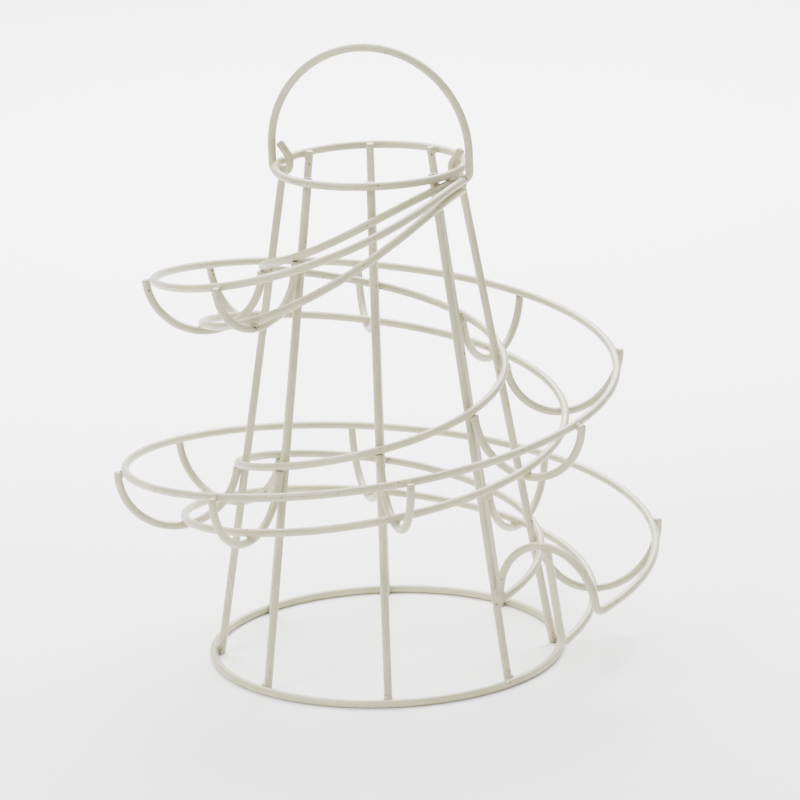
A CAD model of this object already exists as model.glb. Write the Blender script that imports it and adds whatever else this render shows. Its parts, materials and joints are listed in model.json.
"""Spiral wire egg rack: bent and welded wires, their worn coating, and a plain studio."""

import json
import logging
import math
from dataclasses import dataclass, field
from enum import Enum
from typing import Any, Optional, Sequence, Union

import bmesh
import bpy
import numpy as np
from mathutils import Matrix, Vector, noise


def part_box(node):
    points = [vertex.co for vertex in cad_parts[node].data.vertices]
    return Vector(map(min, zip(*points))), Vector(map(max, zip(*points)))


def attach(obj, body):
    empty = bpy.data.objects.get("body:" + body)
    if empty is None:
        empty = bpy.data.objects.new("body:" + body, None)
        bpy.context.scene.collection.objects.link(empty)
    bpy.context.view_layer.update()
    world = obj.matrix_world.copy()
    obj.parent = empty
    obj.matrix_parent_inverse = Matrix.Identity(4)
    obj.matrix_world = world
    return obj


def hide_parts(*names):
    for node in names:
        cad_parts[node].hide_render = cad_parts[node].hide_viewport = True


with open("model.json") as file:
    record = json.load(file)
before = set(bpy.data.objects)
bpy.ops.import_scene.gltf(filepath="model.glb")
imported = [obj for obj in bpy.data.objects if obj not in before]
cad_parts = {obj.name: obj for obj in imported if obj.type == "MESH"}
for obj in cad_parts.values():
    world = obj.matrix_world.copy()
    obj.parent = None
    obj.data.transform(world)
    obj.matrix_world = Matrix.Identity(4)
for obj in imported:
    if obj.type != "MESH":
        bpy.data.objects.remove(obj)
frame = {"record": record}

log = logging.getLogger("egg_rack")

MM = 0.001
STRUTS = 8
CRADLES = 14
STEP = 45.0
FRAME_BODY = "rack"
HANDLE_BODY = "handle"

# Half widths of the weld beads: across, along, and square to both.
RING_BEAD = (1.0, 1.6, 1.3)
RAIL_BEAD = (1.0, 1.5, 1.5)
START_BEAD = (1.2, 2.6, 1.7)
BUNDLE_BEAD = (1.2, 2.4, 1.5)
FOOT_BEAD = (2.0, 3.0, 2.1)
PROP_BEAD = (1.0, 1.9, 1.9)
INNER_BEAD = (1.0, 1.9, 1.3)
LOWER_BEAD = (0.9, 1.5, 1.5)
OUTER_BEAD = (0.9, 1.5, 1.4)

Path = np.ndarray


class Rail(Enum):
    """The three rails of the track, by the node each stands for."""

    INNER = "inner_rail"
    OUTER = "outer_rail"
    LOWER = "lower_rail"


class Axis(Enum):
    """The upright direction, and a level one for wires that run upright."""

    X = (1.0, 0.0, 0.0)
    Z = (0.0, 0.0, 1.0)

    @property
    def arrow(self) -> np.ndarray:
        """The direction as an array."""
        return np.array(self.value)


def unit(v: np.ndarray) -> np.ndarray:
    """The vector, or each row of vectors, at length one."""
    return v / np.linalg.norm(v, axis=-1, keepdims=True)


def mix(p: Any, q: Any, t: Any) -> Any:
    """Blend from p at t = 0 to q at t = 1."""
    return p + (q - p) * t


def turned(points: Path, degrees: float) -> Path:
    """Points turned about the upright axis.

    Args:
        points: rows of x, y, z.
        degrees: the turn, anticlockwise seen from above.

    Returns:
        The turned points.
    """
    c, s = math.cos(math.radians(degrees)), math.sin(math.radians(degrees))
    return points @ np.array([[c, s, 0.0], [-s, c, 0.0], [0.0, 0.0, 1.0]])


def node_box(name: str) -> tuple[np.ndarray, np.ndarray]:
    """Lowest and highest corner of a node at rest, in millimetres."""
    low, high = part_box(name)
    return np.array(low) / MM, np.array(high) / MM


@dataclass(frozen=True)
class Spot:
    """A place where two wires are welded, or one is cut.

    Attributes:
        at: the middle of the bead, in millimetres.
        across: direction from one wire to the other.
        along: direction in which the bead is drawn out.
        size: half widths across, along, and square to both.
    """

    at: np.ndarray
    across: np.ndarray
    along: np.ndarray
    size: tuple[float, float, float]


@dataclass
class Wire:
    """Round coated wire, bent along a path into one smooth mesh.

    Attributes:
        radius: half the thickness over the coating.
        sides: points round the section.
        pitch: distance between rings of points along the wire.
        uneven: how far the coating's thickness falls short in places.
        burr: rounding of a cut end.
        wear_reach: how far wear spreads from a weld or a cut end.
    """

    radius: float = 1.5
    sides: int = 20
    pitch: float = 1.1
    uneven: float = 0.03
    burr: float = 0.45
    wear_reach: float = 3.4

    def spaced(self, path: Path, closed: bool) -> Path:
        """Points along the path at an even pitch, keeping its sharp stretches.

        Args:
            path: dense points along the wire's middle.
            closed: whether the last point joins the first.

        Returns:
            The spaced points, without a repeat of the first at the end.
        """
        line = np.vstack([path, path[:1]]) if closed else path
        steps = np.linalg.norm(np.diff(line, axis=0), axis=1)
        run = np.concatenate([[0.0], np.cumsum(steps)])
        count = max(4, int(round(run[-1] / self.pitch)))
        at = np.linspace(0.0, run[-1], count + 1)
        even = np.stack([np.interp(at, run, line[:, k]) for k in range(3)], axis=1)
        return even[:-1] if closed else even

    def frames(self, line: Path, closed: bool) -> tuple[Path, Path, Path]:
        """Directions along and square to the wire, carried without twisting.

        Args:
            line: evenly spaced points.
            closed: whether the line is a closed ring.

        Returns:
            Along, first side and second side directions at each point.
        """
        if closed:
            along = unit(np.roll(line, -1, axis=0) - np.roll(line, 1, axis=0))
        else:
            along = unit(np.gradient(line, axis=0))
        side = np.cross(Axis.Z.arrow, along[0])
        if np.linalg.norm(side) < 0.05:
            side = np.cross(Axis.X.arrow, along[0])
        sides = []
        for t in along:
            side = unit(side - (side @ t) * t)
            sides.append(side)
        first = np.array(sides)
        return along, first, np.cross(along, first)

    def mesh(
        self, name: str, path: Path, closed: bool = False, worn: Sequence[Spot] = ()
    ) -> bpy.types.Object:
        """Bend the wire along a path.

        Args:
            name: the object's name.
            path: dense points along the wire's middle, in millimetres.
            closed: whether it is a closed ring.
            worn: welds that wear the coating near them.

        Returns:
            The new object, in the scene.
        """
        line = self.spaced(path, closed)
        along, one, two = self.frames(line, closed)
        seed = float(sum(ord(c) for c in name))
        swell = np.array([noise.noise(Vector(p * 0.11) + Vector((seed, 0, 0))) for p in line])
        radii = self.radius - self.uneven * (0.6 + 0.4 * swell)
        middles, widths = [line], [radii]
        if not closed:
            middles, widths, along, one, two = self.rounded(line, radii, along, one, two)
        centres, spread = np.vstack(middles), np.concatenate(widths)
        turn = np.linspace(0.0, 2.0 * math.pi, self.sides, endpoint=False)
        c, s = np.cos(turn)[None, :, None], np.sin(turn)[None, :, None]
        ring = c * one[:, None] + s * two[:, None]
        points = (centres[:, None] + spread[:, None, None] * ring).reshape(-1, 3)
        rows = len(centres)
        faces = self.walls(rows, closed)
        if not closed:
            points = np.vstack([points, line[:1], line[-1:]])
            faces += self.caps(rows)
        ends = [] if closed else [line[0], line[-1]]
        return self.finished(name, points, faces, worn, ends)

    def rounded(
        self, line: Path, radii: np.ndarray, along: Path, one: Path, two: Path
    ) -> tuple[list[Path], list[np.ndarray], Path, Path, Path]:
        """Add the rings that round off both cut ends.

        Args:
            line: points along the wire.
            radii: half thickness at each point.
            along: direction along the wire at each point.
            one: first side direction at each point.
            two: second side direction at each point.

        Returns:
            Ring middles, ring radii, and the three directions for every ring.
        """
        bends = np.radians([0.0, 30.0, 60.0, 90.0])
        inset = self.burr * (1.0 - np.sin(bends))
        narrow = self.burr * (1.0 - np.cos(bends))
        head = line[0] + along[0] * inset[::-1, None]
        tail = line[-1] - along[-1] * inset[:, None]
        middles = [head, line[1:-1], tail]
        widths = [radii[0] - narrow[::-1], radii[1:-1], radii[-1] - narrow]
        spread = [
            np.vstack([np.repeat(d[:1], 4, axis=0), d[1:-1], np.repeat(d[-1:], 4, axis=0)])
            for d in (along, one, two)
        ]
        return middles, widths, spread[0], spread[1], spread[2]

    def walls(self, rows: int, closed: bool) -> list[tuple[int, ...]]:
        """Faces between neighbouring rings."""
        last = rows if closed else rows - 1
        faces = []
        for i in range(last):
            near, far = i * self.sides, ((i + 1) % rows) * self.sides
            for k in range(self.sides):
                n = (k + 1) % self.sides
                faces.append((near + k, near + n, far + n, far + k))
        return faces

    def caps(self, rows: int) -> list[tuple[int, ...]]:
        """Fans that close both cut ends, round a middle point each."""
        head, tail, far = rows * self.sides, rows * self.sides + 1, (rows - 1) * self.sides
        faces: list[tuple[int, ...]] = []
        for k in range(self.sides):
            n = (k + 1) % self.sides
            faces.append((head, n, k))
            faces.append((tail, far + k, far + n))
        return faces

    def finished(
        self,
        name: str,
        points: Path,
        faces: list[tuple[int, ...]],
        worn: Sequence[Spot],
        ends: Sequence[np.ndarray],
    ) -> bpy.types.Object:
        """Make the object and mark where its coating is worn.

        Args:
            name: the object's name.
            points: its points, in millimetres.
            faces: its faces.
            worn: welds near it.
            ends: its cut ends.

        Returns:
            The new object.
        """
        wear = np.zeros(len(points))
        for spot in worn:
            gap = np.linalg.norm(points - spot.at, axis=1)
            wear = np.maximum(wear, 0.75 * np.exp(-((gap / self.wear_reach) ** 2)))
        for end in ends:
            gap = np.linalg.norm(points - end, axis=1)
            wear = np.maximum(wear, np.exp(-((gap / (0.6 * self.wear_reach)) ** 2)))
        return new_piece(name, points, faces, wear)


def new_piece(
    name: str, points: Path, faces: Sequence[tuple[int, ...]], wear: np.ndarray
) -> bpy.types.Object:
    """Make a smooth-shaded object from points in millimetres.

    Args:
        name: the object's name.
        points: its points.
        faces: its faces.
        wear: how worn the coating is at each point, 0 to 1.

    Returns:
        The new object, linked into the scene.
    """
    mesh = bpy.data.meshes.new(name)
    mesh.from_pydata((points * MM).tolist(), [], faces)
    layer = mesh.attributes.new("wear", "FLOAT", "POINT")
    layer.data.foreach_set("value", np.clip(wear, 0.0, 1.0).astype(np.float32))
    mesh.shade_smooth()
    mesh.update()
    piece = bpy.data.objects.new(name, mesh)
    bpy.context.scene.collection.objects.link(piece)
    return piece


Term = Union["Maths", float]


@dataclass(frozen=True)
class Maths:
    """A shader value that can be reckoned with like a number."""

    kit: "NodeKit"
    socket: bpy.types.NodeSocket

    def _step(self, operation: str, *terms: Term) -> "Maths":
        """Add one Math node and wrap its result."""
        sockets = {i: t.socket if isinstance(t, Maths) else float(t) for i, t in enumerate(terms)}
        made = self.kit.add("ShaderNodeMath", {"operation": operation}, sockets)
        return Maths(self.kit, made.outputs[0])

    def __add__(self, other: Term) -> "Maths":
        """Sum."""
        return self._step("ADD", self, other)

    def __radd__(self, other: Term) -> "Maths":
        """Sum, number first."""
        return self._step("ADD", other, self)

    def __sub__(self, other: Term) -> "Maths":
        """Difference."""
        return self._step("SUBTRACT", self, other)

    def __rsub__(self, other: Term) -> "Maths":
        """Difference, number first."""
        return self._step("SUBTRACT", other, self)

    def __mul__(self, other: Term) -> "Maths":
        """Product."""
        return self._step("MULTIPLY", self, other)

    def __rmul__(self, other: Term) -> "Maths":
        """Product, number first."""
        return self._step("MULTIPLY", other, self)

    def above(self, edge: Term, soft: float) -> "Maths":
        """How far the value has risen past an edge.

        Args:
            edge: where the rise begins.
            soft: how much more it takes to finish.

        Returns:
            0 below the edge, 1 past it, with a smooth rise between.
        """
        low = edge.socket if isinstance(edge, Maths) else float(edge)
        high = (edge + soft).socket if isinstance(edge, Maths) else float(edge) + soft
        made = self.kit.add(
            "ShaderNodeMapRange",
            {"interpolation_type": "SMOOTHSTEP"},
            {"Value": self.socket, "From Min": low, "From Max": high},
        )
        return Maths(self.kit, made.outputs[0])


@dataclass
class NodeKit:
    """The node tree of one material, and the one way its nodes are added."""

    material: bpy.types.Material

    @classmethod
    def fresh(cls, name: str) -> "NodeKit":
        """Start a new material with an empty tree."""
        material = bpy.data.materials.new(name)
        material.use_nodes = True
        material.node_tree.nodes.clear()
        return cls(material)

    def add(
        self,
        kind: str,
        settings: Optional[dict[str, Any]] = None,
        sockets: Optional[dict[Union[str, int], Any]] = None,
    ) -> bpy.types.Node:
        """Add a node, set it up, then fill or link its sockets.

        Args:
            kind: the node's type.
            settings: its own properties, set before its sockets.
            sockets: values, or sockets to link from, by name or place.

        Returns:
            The new node.
        """
        node = self.material.node_tree.nodes.new(kind)
        for name, value in (settings or {}).items():
            setattr(node, name, value)
        for key, value in (sockets or {}).items():
            if isinstance(value, Maths):
                value = value.socket
            if isinstance(value, bpy.types.NodeSocket):
                self.material.node_tree.links.new(value, node.inputs[key])
            else:
                node.inputs[key].default_value = value
        return node

    def grain(self, size: float, detail: float, offset: float) -> Maths:
        """Noise fixed to the object.

        Args:
            size: width of its blotches, in millimetres.
            detail: how many finer layers it has.
            offset: a shift that sets it apart from the others.

        Returns:
            The noise, from 0 to 1.
        """
        place = self.add("ShaderNodeTexCoord").outputs["Object"]
        shift = (offset * MM, offset * 1.7 * MM, offset * 0.6 * MM)
        moved = self.add("ShaderNodeMapping", {}, {"Vector": place, "Location": shift})
        made = self.add(
            "ShaderNodeTexNoise",
            {"noise_dimensions": "3D"},
            {"Vector": moved.outputs[0], "Scale": 1.0 / (size * MM), "Detail": detail},
        )
        return Maths(self, made.outputs[0])

    def marked(self, layer: str) -> Maths:
        """A value that the mesh carries at its points."""
        made = self.add("ShaderNodeAttribute", {"attribute_name": layer})
        return Maths(self, made.outputs["Fac"])

    def blend(self, share: Maths, low: Any, high: Any) -> bpy.types.NodeSocket:
        """Mix two colours by a value."""
        made = self.add(
            "ShaderNodeMix",
            {"data_type": "RGBA"},
            {"Factor": share, 6: low, 7: high},
        )
        return made.outputs[2]


Colour = tuple[float, float, float, float]


@dataclass(frozen=True)
class CreamCoat:
    """Satin cream powder coating on steel wire, chipped at welds and cut ends."""

    pale: Colour = (0.475, 0.446, 0.290, 1.0)
    green: Colour = (0.410, 0.402, 0.250, 1.0)
    warm: Colour = (0.335, 0.275, 0.165, 1.0)
    chipped: Colour = (0.085, 0.062, 0.045, 1.0)
    rough: float = 0.33
    coat: float = 0.35

    def material(self, name: str) -> bpy.types.Material:
        """Build the coating's material.

        Args:
            name: the material's name.

        Returns:
            The material.
        """
        kit = NodeKit.fresh(name)
        wear = kit.marked("wear")
        drift = kit.grain(26.0, 2.0, 0.0).above(0.38, 0.26)
        cloud = kit.grain(5.0, 3.0, 40.0)
        fleck = kit.grain(0.9, 3.0, 90.0)
        pit = kit.grain(1.7, 4.0, 140.0)
        peel = kit.grain(0.55, 2.0, 200.0)
        chips = pit.above(0.700 - wear * 0.14, 0.025)
        grime = (cloud.above(0.40, 0.30) * 0.35 + wear * 0.65) * 0.55
        specks = fleck.above(0.66, 0.04) * 0.45
        tone = kit.blend(drift, self.pale, self.green)
        tone = kit.blend(grime, tone, self.warm)
        tone = kit.blend(specks, tone, self.warm)
        tone = kit.blend(chips, tone, self.chipped)
        relief = peel * 0.30 + cloud * 0.50 + (1.0 - chips) * 0.9
        bump = kit.add(
            "ShaderNodeBump", {}, {"Height": relief, "Strength": 0.35, "Distance": 0.12 * MM}
        )
        shader = kit.add(
            "ShaderNodeBsdfPrincipled",
            {},
            {
                "Base Color": tone,
                "Roughness": self.rough + cloud * 0.14 + chips * 0.25,
                "Coat Weight": self.coat,
                "Coat Roughness": 0.3,
                "Normal": bump.outputs[0],
            },
        )
        kit.add("ShaderNodeOutputMaterial", {}, {"Surface": shader.outputs[0]})
        return kit.material


@dataclass(frozen=True)
class PaleBacking:
    """Matt white paper that the rack stands on."""

    white: Colour = (0.95, 0.95, 0.95, 1.0)
    grey: Colour = (0.93, 0.93, 0.93, 1.0)

    def material(self, name: str) -> bpy.types.Material:
        """Build the paper's material under the given name."""
        kit = NodeKit.fresh(name)
        tone = kit.blend(kit.grain(180.0, 2.0, 0.0), self.white, self.grey)
        shader = kit.add(
            "ShaderNodeBsdfPrincipled", {}, {"Base Color": tone, "Roughness": 0.85}
        )
        kit.add("ShaderNodeOutputMaterial", {}, {"Surface": shader.outputs[0]})
        return kit.material


@dataclass
class Dresser:
    """Hands finished pieces to their body, node and material slot."""

    coat: bpy.types.Material

    def fit(self, piece: bpy.types.Object, body: str, *nodes: str) -> bpy.types.Object:
        """Dress a piece and tie it to the frame.

        Args:
            piece: the object.
            body: the body it moves with.
            nodes: the nodes it stands for, if any.

        Returns:
            The same object.
        """
        piece.data.materials.append(self.coat)
        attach(piece, body)
        if nodes:
            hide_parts(*nodes)
        log.info("%s: %d points, rides on %s", piece.name, len(piece.data.vertices), body)
        return piece


@dataclass
class Cage:
    """Base ring, top ring and the eight leaning struts inside them.

    Attributes:
        wire: the wire they are made of.
        sink: how far welded wires sink into each other.
        foot: height of a strut's lower end.
        proud: height of a strut's upper end above the top ring's middle.
    """

    wire: Wire
    sink: float = 0.15
    foot: float = 0.3
    proud: float = 1.2
    base_radius: float = field(init=False)
    top_radius: float = field(init=False)
    top_height: float = field(init=False)

    def __post_init__(self) -> None:
        """Read the rings' sizes from the frame."""
        low, high = node_box("base_ring")
        self.base_radius = (high[0] - low[0]) / 2.0 - self.wire.radius
        low, high = node_box("top_ring")
        self.top_radius = (high[0] - low[0]) / 2.0 - self.wire.radius
        self.top_height = (high[2] + low[2]) / 2.0

    @property
    def seat(self) -> float:
        """Distance between the middles of two welded wires."""
        return 2.0 * self.wire.radius - self.sink

    def strut_radius(self, z: Any) -> Any:
        """Distance of a strut's middle from the axis at height z."""
        fall = (z - self.wire.radius) / (self.top_height - self.wire.radius)
        return self.base_radius - self.seat + (self.top_radius - self.base_radius) * fall

    def ring_path(self, radius: float, height: float) -> Path:
        """Points round a level ring."""
        turn = np.linspace(0.0, 2.0 * math.pi, 720, endpoint=False)
        return np.stack([radius * np.cos(turn), radius * np.sin(turn), 0 * turn + height], axis=1)

    def strut_path(self, index: int) -> Path:
        """Points up a strut, counted from 0 at the +X side, clockwise."""
        z = np.linspace(self.foot, self.top_height + self.proud, 60)
        bow = 0.12 * np.sin(math.pi * (z - z[0]) / (z[-1] - z[0])) * math.sin(2.3 * index + 1.0)
        points = np.stack([self.strut_radius(z) + bow, 0.6 * bow, z], axis=1)
        return turned(points, -STEP * index)

    def welds(self) -> list[Spot]:
        """Beads that hold the struts to the two rings."""
        spots = []
        for index in range(STRUTS):
            for z, radius, lift in (
                (self.wire.radius, self.base_radius, 0.9),
                (self.top_height, self.top_radius, -0.7),
            ):
                at = np.array([[radius - self.seat / 2.0 - 0.1, 0.0, z + lift]])
                frame3 = turned(np.vstack([at, [[1, 0, 0]], [[0, 1, 0]]]), -STEP * index)
                spots.append(Spot(frame3[0], frame3[1], frame3[2], RING_BEAD))
        return spots

    def build(self, dresser: Dresser, worn: Sequence[Spot]) -> None:
        """Make both rings and the struts.

        Args:
            dresser: fits each piece to the frame.
            worn: every weld of the rack.
        """
        for name, radius, height in (
            ("base_ring", self.base_radius, self.wire.radius),
            ("top_ring", self.top_radius, self.top_height),
        ):
            piece = self.wire.mesh("wire_" + name, self.ring_path(radius, height), True, worn)
            dresser.fit(piece, FRAME_BODY, name)
        for index in range(STRUTS):
            name = f"strut_{index + 1}"
            piece = self.wire.mesh("wire_" + name, self.strut_path(index), False, worn)
            dresser.fit(piece, FRAME_BODY, name)


@dataclass
class Track:
    """Three rails that wind down round the cage, with the end stop.

    Heights and widths are millimetres, and places along the track are degrees
    travelled clockwise from +X. A pair of values is for half a turn and for two turns.

    Attributes:
        wire: the wire the rails are made of.
        cage: the cage they are welded to.
        turn_height: height of the inner rail after half a turn.
        pitch: how far it falls in a turn from there.
        ease: how much of that fall it loses as it goes down.
        lift: how much steeper it starts.
        lift_span: where that steep start ends, and where it is full.
        width: inner rail to outer rail.
        lean: how far the lower rail sits off the middle of the cradles.
        tilt: tilt of the track's outer edge.
        opening: where the track starts to open out, and where it is open.
        start: the cut end under the top ring.
        inner_end: the inner rail's lower end.
        stop_at: the outer foot of the end stop.
        prop_at: the foot of its prop.
        stop_rise: height of the arch's middle over its higher foot.
        bend_radius: radius of the bends at both feet.
        bend_run: how far before a foot the spiral gives way to its bend.
    """

    wire: Wire
    cage: Cage
    turn_height: float = 147.0
    pitch: float = 77.6
    ease: float = 4.1
    lift: float = 5.0
    lift_span: tuple[float, float] = (150.0, 60.0)
    width: tuple[float, float] = (39.7, 42.0)
    lean: tuple[float, float] = (9.5, -12.0)
    tilt: tuple[float, float] = (-5.0, 2.0)
    opening: tuple[float, float] = (26.0, 158.0)
    start: float = 28.5
    inner_end: float = 765.0
    stop_at: float = 762.5
    prop_at: float = 755.5
    stop_rise: float = -1.0
    bend_radius: float = 3.0
    bend_run: float = 4.5

    def along(self, a: Any) -> Any:
        """Share of the way down, 0 after half a turn and 1 after two turns."""
        return (a - 180.0) / 540.0

    def opened(self, a: Any) -> Any:
        """How far the track has opened out, from 0 to 1."""
        t = np.clip((a - self.opening[0]) / (self.opening[1] - self.opening[0]), 0.0, 1.0)
        return (1.0 - np.cos(math.pi * t)) / 2.0

    def height(self, a: Any) -> Any:
        """Height of the inner rail."""
        u = (a - 180.0) / 360.0
        t = np.clip((self.lift_span[0] - a) / (self.lift_span[0] - self.lift_span[1]), 0.0, 1.0)
        steep = self.lift * t**3 * (t * (6.0 * t - 15.0) + 10.0)
        free = self.turn_height - self.pitch * u + self.ease * u * u + steep
        most = self.cage.top_height - self.cage.seat + self.cage.sink / 2.0
        return -2.0 * np.log(np.exp(-free / 2.0) + np.exp(-most / 2.0))

    def span(self, a: Any) -> Any:
        """Width of the track, inner rail to outer rail."""
        full = mix(self.width[0], self.width[1], self.along(a))
        return mix(self.cage.seat, full, self.opened(a))

    def cup(self, a: Any) -> Any:
        """Radius of a cradle."""
        return (self.span(a) + self.cage.seat) / 2.0

    def place(self, a: Any, out: Any, up: Any) -> np.ndarray:
        """A point in the tilted track.

        Args:
            a: place along the track.
            out: distance out from the inner rail.
            up: distance above the inner rail.

        Returns:
            The point, or rows of points.
        """
        t = np.radians(mix(self.tilt[0], self.tilt[1], self.along(a)) * self.opened(a))
        z = self.height(a)
        r = self.cage.strut_radius(z) + self.cage.seat + out * np.cos(t) - up * np.sin(t)
        f = np.radians(a)
        rise = z + out * np.sin(t) + up * np.cos(t)
        return np.stack([r * np.cos(f), -r * np.sin(f), rise], axis=-1)

    def point(self, rail: Rail, a: Any) -> np.ndarray:
        """A rail's middle at a place along the track."""
        a = np.asarray(a, dtype=float)
        if rail is Rail.INNER:
            return self.place(a, 0.0 * a, 0.0 * a)
        if rail is Rail.OUTER:
            return self.place(a, self.span(a), 0.0 * a)
        gap = self.cup(a) - self.cage.seat
        g = np.radians(mix(self.lean[0], self.lean[1], self.along(a)))
        drop = gap * np.cos(g) + self.cage.seat * (1.0 - self.opened(a)) ** 2
        return self.place(a, self.cup(a) + gap * np.sin(g), -drop)

    def heading(self, rail: Rail, a: float) -> np.ndarray:
        """Direction of a rail as it runs down."""
        return unit(self.point(rail, a + 0.5) - self.point(rail, a - 0.5))

    def corner(self, at: np.ndarray, before: np.ndarray, after: np.ndarray) -> Path:
        """Points round a sharp bend.

        Args:
            at: where the two straight lines would meet.
            before: direction into the bend.
            after: direction out of it.

        Returns:
            Points round the bend.
        """
        turn = math.acos(float(before @ after))
        inward = unit(after - (before @ after) * before)
        first = at - before * self.bend_radius * math.tan(turn / 2.0)
        t = np.linspace(0.0, turn, 13)[:, None]
        return first + self.bend_radius * (inward * (1.0 - np.cos(t)) + before * np.sin(t))

    def arch(self) -> tuple[Path, np.ndarray]:
        """Points over the end stop from outer foot to inner foot, and its top."""
        foot = self.point(Rail.OUTER, self.stop_at)
        z = float(self.height(self.inner_end)) + self.cage.seat
        r = self.cage.strut_radius(z) + self.cage.seat
        f = math.radians(self.inner_end)
        inner = np.array([r * math.cos(f), -r * math.sin(f), z])
        flat = (inner - foot) * np.array([1.0, 1.0, 0.0])
        half, inward = np.linalg.norm(flat) / 2.0, unit(flat)
        middle = np.array([foot[0], foot[1], max(foot[2], z) + self.stop_rise]) + inward * half
        t = np.radians(np.arange(15.0, 172.6, 1.5))[:, None]
        curve = middle + half * (-inward * np.cos(t) + Axis.Z.arrow * np.sin(t))
        return np.vstack([curve, inner]), middle + Axis.Z.arrow * half

    def spiral(self, rail: Rail, foot: float) -> Path:
        """Points down a rail as far as the bend at its foot."""
        return self.point(rail, np.arange(self.start, foot - self.bend_run, 0.5))

    def path(self, rail: Rail) -> Path:
        """Points along a whole rail.

        Args:
            rail: which of the three.

        Returns:
            Dense points from the cut end under the top ring to the lower end.
        """
        if rail is Rail.INNER:
            return self.point(rail, np.arange(self.start, self.inner_end + 0.1, 0.5))
        curve, top = self.arch()
        if rail is Rail.OUTER:
            foot = self.point(rail, self.stop_at)
            bend = self.corner(foot, self.heading(rail, self.stop_at), unit(curve[0] - foot))
            return np.vstack([self.spiral(rail, self.stop_at), bend, curve])
        foot = self.point(rail, self.prop_at)
        rise = unit(top - foot)
        bend = self.corner(foot, self.heading(rail, self.prop_at), rise)
        end = top - rise * (self.wire.radius - self.cage.sink)
        return np.vstack([self.spiral(rail, self.prop_at), bend, end[None]])

    def welds(self) -> list[Spot]:
        """Beads along the rails: at the struts, the start and the end stop."""
        spots = []
        for a in np.arange(45.0, self.inner_end - 1.0, STEP):
            at = self.place(a, -self.cage.seat / 2.0, -0.6)
            out = unit(self.place(a, 1.0, 0.0) - self.place(a, 0.0, 0.0))
            spots.append(Spot(at, out, self.heading(Rail.INNER, a), RAIL_BEAD))
        for a in (31.0, 35.0):
            at = self.point(Rail.INNER, a) + Axis.Z.arrow * self.cage.seat / 2.0
            spots.append(Spot(at, Axis.Z.arrow, self.heading(Rail.INNER, a), START_BEAD))
        for one, two in ((Rail.INNER, Rail.OUTER), (Rail.OUTER, Rail.LOWER)):
            a = 30.0
            gap = self.point(two, a) - self.point(one, a)
            at = (self.point(two, a) + self.point(one, a)) / 2.0
            spots.append(Spot(at, unit(gap), self.heading(one, a), BUNDLE_BEAD))
        curve, top = self.arch()
        inner = curve[-1]
        up, out = Axis.Z.arrow, unit(inner * np.array([1.0, 1.0, 0.0]))
        spots.append(Spot(inner - up * 1.2 - out * 0.5, out, up, FOOT_BEAD))
        below = top - up * (self.wire.radius - 0.2)
        spots.append(Spot(below, up, np.cross(up, out), PROP_BEAD))
        return spots

    def build(self, dresser: Dresser, worn: Sequence[Spot]) -> None:
        """Make the three rails.

        Args:
            dresser: fits each piece to the frame.
            worn: every weld of the rack.
        """
        for rail in Rail:
            piece = self.wire.mesh("wire_" + rail.value, self.path(rail), False, worn)
            dresser.fit(piece, FRAME_BODY, rail.value)


@dataclass(frozen=True)
class Hoop:
    """A cradle's arc.

    Attributes:
        start: its end under the inner rail.
        end: where it passes outside the outer rail.
        rail: where the lower rail crosses it.
        way: level direction from its start to its end.
        middle: the arc's middle, along the way and up from the start.
        tip: how far it goes on past the end.
    """

    start: np.ndarray
    end: np.ndarray
    rail: np.ndarray
    way: np.ndarray
    middle: np.ndarray
    tip: float

    @property
    def core(self) -> np.ndarray:
        """The arc's middle in space."""
        return self.start + self.way * self.middle[0] + Axis.Z.arrow * self.middle[1]

    def turn(self, place: np.ndarray) -> float:
        """Angle of a place round the arc, in radians from the way, going round below."""
        angle = math.atan2(place[2] - self.core[2], float((place - self.core) @ self.way))
        return angle + 2.0 * math.pi if angle < math.pi / 2.0 else angle

    def points(self, count: int) -> Path:
        """Even points round the arc, from the start to the cut tip."""
        radius = float(np.linalg.norm(self.middle))
        last = self.turn(self.end) + math.asin(self.tip / radius)
        turn = np.linspace(self.turn(self.start), last, count)[:, None]
        spokes = np.cos(turn) * self.way + np.sin(turn) * Axis.Z.arrow
        return self.core + radius * spokes


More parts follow.
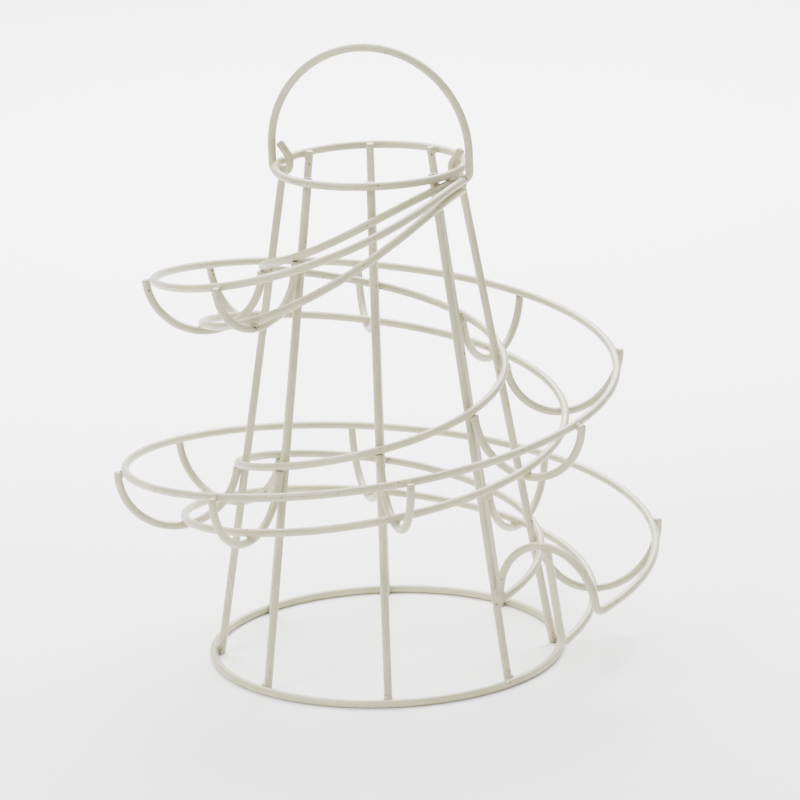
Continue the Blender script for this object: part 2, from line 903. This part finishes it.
@dataclass
class Cradles:
    """Fourteen U-shaped wires across the track.

    Attributes:
        wire: the wire they are made of.
        track: the rails they carry.
        first: place of the first along the track.
        tip: height of the cut end above the outer rail's middle.
        skew: how far the outer end sits back up the track, in degrees.
        skew_from: where along the track the skew starts.
        skew_over: how much further it takes to reach its full value.
        inset: distance out to the inner end, at the first and near the last.
    """

    wire: Wire
    track: Track
    first: float = 135.0
    tip: float = 0.3
    skew: float = 6.5
    skew_from: float = 180.0
    skew_over: float = 135.0
    inset: tuple[float, float] = (0.95, 0.2)

    def hoop(self, index: int) -> Hoop:
        """Fit a cradle's arc to the three rails, counted from 0 at the top.

        Args:
            index: which cradle.

        Returns:
            The arc, in the upright plane through the cradle's two ends.
        """
        track, a = self.track, self.first + STEP * index
        back = a - self.skew * min(1.0, max(0.0, (a - self.skew_from) / self.skew_over))
        cage = track.cage
        inset = mix(self.inset[0], self.inset[1], track.along(a))
        start = track.place(a, inset, -self.wire.radius - cage.sink / 4.0)
        end = track.place(back, track.span(back) + cage.seat, 0.0)
        way = unit((end - start) * np.array([1.0, 1.0, 0.0]))
        square = np.cross(Axis.Z.arrow, way)
        near = float((track.point(Rail.LOWER, a) - start) @ square)
        far = float((track.point(Rail.LOWER, back) - start) @ square)
        share = near / (near - far) if abs(near - far) > 1e-3 else 0.0
        rail = track.point(Rail.LOWER, a - (a - back) * share)
        flat = [np.array([(p - start) @ way, p[2] - start[2]]) for p in (rail, end)]
        low = flat[0] + unit(flat[0] - flat[1] / 2.0) * (cage.seat + cage.sink / 2.0)
        sums = np.array([low @ low, flat[1] @ flat[1]]) / 2.0
        middle = np.linalg.solve(np.stack([low, flat[1]]), sums)
        return Hoop(start, end, rail, way, middle, self.tip)

    def path(self, index: int) -> Path:
        """Points round a cradle, counted from 0 at the top."""
        return self.hoop(index).points(90)

    def welds(self) -> list[Spot]:
        """Beads at each cradle's inner end, under the lower rail, and at the outer rail."""
        spots, track = [], self.track
        up = Axis.Z.arrow
        for index in range(CRADLES):
            hoop = self.hoop(index)
            a = self.first + STEP * index
            inner = hoop.start - hoop.way * 1.3 - up * 1.0
            spots.append(Spot(inner, hoop.way, up, INNER_BEAD))
            away = unit(hoop.rail - hoop.core)
            low = hoop.rail + away * self.wire.radius
            spots.append(Spot(low, away, track.heading(Rail.LOWER, a), LOWER_BEAD))
            edge = hoop.end - hoop.way * self.wire.radius - up * 0.5
            spots.append(Spot(edge, hoop.way, track.heading(Rail.OUTER, a), OUTER_BEAD))
        return spots

    def build(self, dresser: Dresser, worn: Sequence[Spot]) -> None:
        """Make the cradles.

        Args:
            dresser: fits each piece to the frame.
            worn: every weld of the rack.
        """
        for index in range(CRADLES):
            name = f"cradle_{index + 1:02d}"
            piece = self.wire.mesh("wire_" + name, self.path(index), False, worn)
            dresser.fit(piece, FRAME_BODY, name)


@dataclass
class Bail:
    """Handle with a closed hook round the top ring at each end.

    Attributes:
        wire: the wire it is made of.
        cage: the cage it hangs on.
        hook: radius of a hook, to the middle of the wire.
        drop: play under the top ring.
        rise: straight run of a hook's inner side above the ring's middle.
        lean: lean of a hook's end back towards the leg.
        turn: turn of the handle's plane away from X.
    """

    wire: Wire
    cage: Cage
    hook: float = 3.3
    drop: float = 0.9
    rise: float = 0.8
    lean: float = 35.0
    turn: float = field(init=False)
    arch_height: float = field(init=False)

    def __post_init__(self) -> None:
        """Read the handle's height from the frame and its turn from its hinge."""
        self.arch_height = node_box("handle")[1][2] - self.wire.radius - self.arch_radius
        axis = frame["record"]["behaviour"]["joints"][0]["axis"]
        self.turn = math.degrees(math.atan2(axis[1], axis[0]))

    @property
    def arch_radius(self) -> float:
        """Radius of the handle's half circle."""
        return self.cage.top_radius + self.hook

    def hook_path(self) -> Path:
        """One hook from its tip to its leg, out from the ring's middle and above it."""
        lean = math.radians(self.lean)
        t = np.linspace(lean, 0.0, 10)
        over = np.stack([-self.hook * np.cos(t), self.rise + self.hook * np.sin(t)], axis=1)
        reach = self.hook - self.cage.seat - over[0, 0]
        tip = over[0] + reach * np.array([1.0, 1.0 / math.tan(lean)])
        t = np.linspace(0.0, math.pi, 31)
        under = np.stack([-self.hook * np.cos(t), -self.drop - self.hook * np.sin(t)], axis=1)
        return np.vstack([tip, over, under])

    def path(self) -> Path:
        """Points along the whole handle, tip to tip."""
        hook = self.hook_path()
        right = np.stack(
            [self.cage.top_radius + hook[:, 0], 0 * hook[:, 0], self.cage.top_height + hook[:, 1]],
            axis=1,
        )
        left = right[::-1] * np.array([-1.0, 1.0, 1.0])
        t = np.linspace(0.0, math.pi, 121)
        arch = np.stack([np.cos(t), 0 * t, np.sin(t)], axis=1) * self.arch_radius
        arch = arch + Axis.Z.arrow * self.arch_height
        return turned(np.vstack([right, arch, left]), self.turn)

    def build(self, dresser: Dresser) -> None:
        """Make the handle."""
        piece = self.wire.mesh("wire_handle", self.path(), False, ())
        dresser.fit(piece, HANDLE_BODY, "handle")


@dataclass
class Beads:
    """Ragged little weld beads under the coating, gathered into one piece.

    Attributes:
        name: the piece's name.
        rough: how far a bead's surface wanders, as a share of its size.
    """

    name: str
    rough: float = 0.12

    def ball(self) -> tuple[Path, list[tuple[int, ...]]]:
        """Points and faces of a round ball of radius one."""
        shape = bmesh.new()
        bmesh.ops.create_icosphere(shape, subdivisions=3, radius=1.0)
        points = np.array([v.co[:] for v in shape.verts])
        faces = [tuple(v.index for v in f.verts) for f in shape.faces]
        shape.free()
        return points, faces

    def bead(self, spot: Spot, ball: Path, seed: int) -> tuple[Path, np.ndarray]:
        """Shape one bead.

        Args:
            spot: where it sits and how large it is.
            ball: points of a round ball.
            seed: sets it apart from the others.

        Returns:
            Its points, and how worn each is.
        """
        across = unit(spot.across)
        along = unit(spot.along - (spot.along @ across) * across)
        axes = np.stack([across, along, np.cross(across, along)])
        shift = Vector((seed * 3.7, seed * 1.3, seed * 2.9))
        lumps = np.array([noise.noise(Vector(p * 1.5) + shift) for p in ball])
        fine = np.array([noise.noise(Vector(p * 4.2) + shift) for p in ball])
        scale = 1.0 + self.rough * lumps + 0.3 * self.rough * fine
        scale = scale * (0.94 + 0.12 * abs(math.sin(seed * 1.91)))
        points = spot.at + (ball * scale[:, None] * np.array(spot.size)) @ axes
        return points, 0.25 + 0.55 * np.clip(fine + 0.4, 0.0, 1.0)

    def build(self, dresser: Dresser, spots: Sequence[Spot]) -> None:
        """Make one piece of all the beads.

        Args:
            dresser: fits the piece to the frame.
            spots: the welds.
        """
        ball, pattern = self.ball()
        points, wear, faces = [], [], []
        for seed, spot in enumerate(spots):
            shaped, worn = self.bead(spot, ball, seed)
            first = len(points) * len(ball)
            points.append(shaped)
            wear.append(worn)
            faces += [tuple(first + i for i in f) for f in pattern]
        piece = new_piece(self.name, np.vstack(points), faces, np.concatenate(wear))
        dresser.fit(piece, FRAME_BODY)


@dataclass
class Studio:
    """White floor, soft lights and the camera.

    Attributes:
        distance: from the camera to the point it looks at, in metres.
        elevation: the camera's height above the horizon, in degrees.
        roll: the camera's lean, in degrees.
        lens: focal length in millimetres, on a 36 mm frame.
        aim: the point it looks at, in metres.
        room: brightness of the even light from all round.
    """

    distance: float = 1.5438
    elevation: float = 16.018
    roll: float = -1.9525
    lens: float = 190.98
    aim: tuple[float, float, float] = (0.00781, 0.0, 0.09518)
    room: float = 0.62

    def camera(self) -> None:
        """Place the camera and make it the scene's own."""
        el, roll = math.radians(self.elevation), math.radians(self.roll)
        ahead = Vector((0.0, math.cos(el), -math.sin(el)))
        right = Vector((1.0, 0.0, 0.0))
        up = right.cross(ahead)
        c, s = math.cos(roll), math.sin(roll)
        side, top = c * right + s * up, c * up - s * right
        turn = Matrix((side, top, -ahead)).transposed()
        data = bpy.data.cameras.new("studio_camera")
        data.lens = self.lens
        data.sensor_width = 36.0
        data.clip_end = 30.0
        camera = bpy.data.objects.new("studio_camera", data)
        place = Vector(self.aim) - ahead * self.distance
        camera.matrix_world = Matrix.Translation(place) @ turn.to_4x4()
        bpy.context.scene.collection.objects.link(camera)
        bpy.context.scene.camera = camera

    def lamp(
        self,
        name: str,
        place: tuple[float, float, float],
        size: float,
        power: float,
        aim: tuple[float, float, float] = (0.0, 0.0, 0.1),
    ) -> None:
        """Hang a soft square light.

        Args:
            name: its name.
            place: where it hangs, in metres.
            size: the length of its sides, in metres.
            power: its power in watts.
            aim: the point it faces, in metres.
        """
        data = bpy.data.lights.new(name, "AREA")
        data.size = size
        data.energy = power
        light = bpy.data.objects.new(name, data)
        light.location = place
        ahead = Vector(aim) - Vector(place)
        light.rotation_euler = ahead.to_track_quat("-Z", "Y").to_euler()
        bpy.context.scene.collection.objects.link(light)

    def floor(self) -> None:
        """Lay a wide sheet of paper that sweeps gently up at the back."""
        reach = np.concatenate([np.linspace(-3.0, 2.0, 11), 2.0 + np.linspace(0.1, 1.5, 12)])
        rise = np.where(reach > 2.0, 0.55 * (reach - 2.0) ** 2, 0.0)
        wide = np.linspace(-4.0, 4.0, 9)
        points = [(x, y, z) for y, z in zip(reach, rise) for x in wide]
        row = len(wide)
        faces = [
            (j * row + i, j * row + i + 1, (j + 1) * row + i + 1, (j + 1) * row + i)
            for j in range(len(reach) - 1)
            for i in range(row - 1)
        ]
        mesh = bpy.data.meshes.new("paper_floor")
        mesh.from_pydata(points, [], faces)
        mesh.shade_smooth()
        mesh.materials.append(PaleBacking().material("white_paper"))
        floor = bpy.data.objects.new("paper_floor", mesh)
        bpy.context.scene.collection.objects.link(floor)

    def sky(self) -> None:
        """Fill the room with even white light."""
        world = bpy.data.worlds.new("white_room")
        world.use_nodes = True
        glow = world.node_tree.nodes["Background"]
        glow.inputs["Color"].default_value = (1.0, 1.0, 1.0, 1.0)
        glow.inputs["Strength"].default_value = self.room
        bpy.context.scene.world = world

    def build(self) -> None:
        """Set up the floor, the lights and the camera."""
        self.floor()
        self.sky()
        self.lamp("key_light", (-1.3, -1.2, 1.9), 0.9, 62.0)
        self.lamp("fill_light", (1.9, -1.0, 1.1), 1.6, 6.0)
        self.lamp("floor_light", (0.0, 0.85, 0.95), 1.2, 90.0, (0.0, 0.75, 0.0))
        self.camera()


def main() -> None:
    """Build the rack and its studio, and note both boxes."""
    logging.basicConfig(level=logging.INFO, format="%(name)s: %(message)s")
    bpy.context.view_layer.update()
    wire = Wire()
    dresser = Dresser(CreamCoat().material("cream_coating"))
    cage = Cage(wire)
    track = Track(wire, cage)
    cradles = Cradles(wire, track)
    handle = Bail(wire, cage)
    spots = cage.welds() + track.welds() + cradles.welds()
    cage.build(dresser, spots)
    track.build(dresser, spots)
    cradles.build(dresser, spots)
    handle.build(dresser)
    Beads("weld_beads").build(dresser, spots)
    Studio().build()


if __name__ == "__main__":
    main()
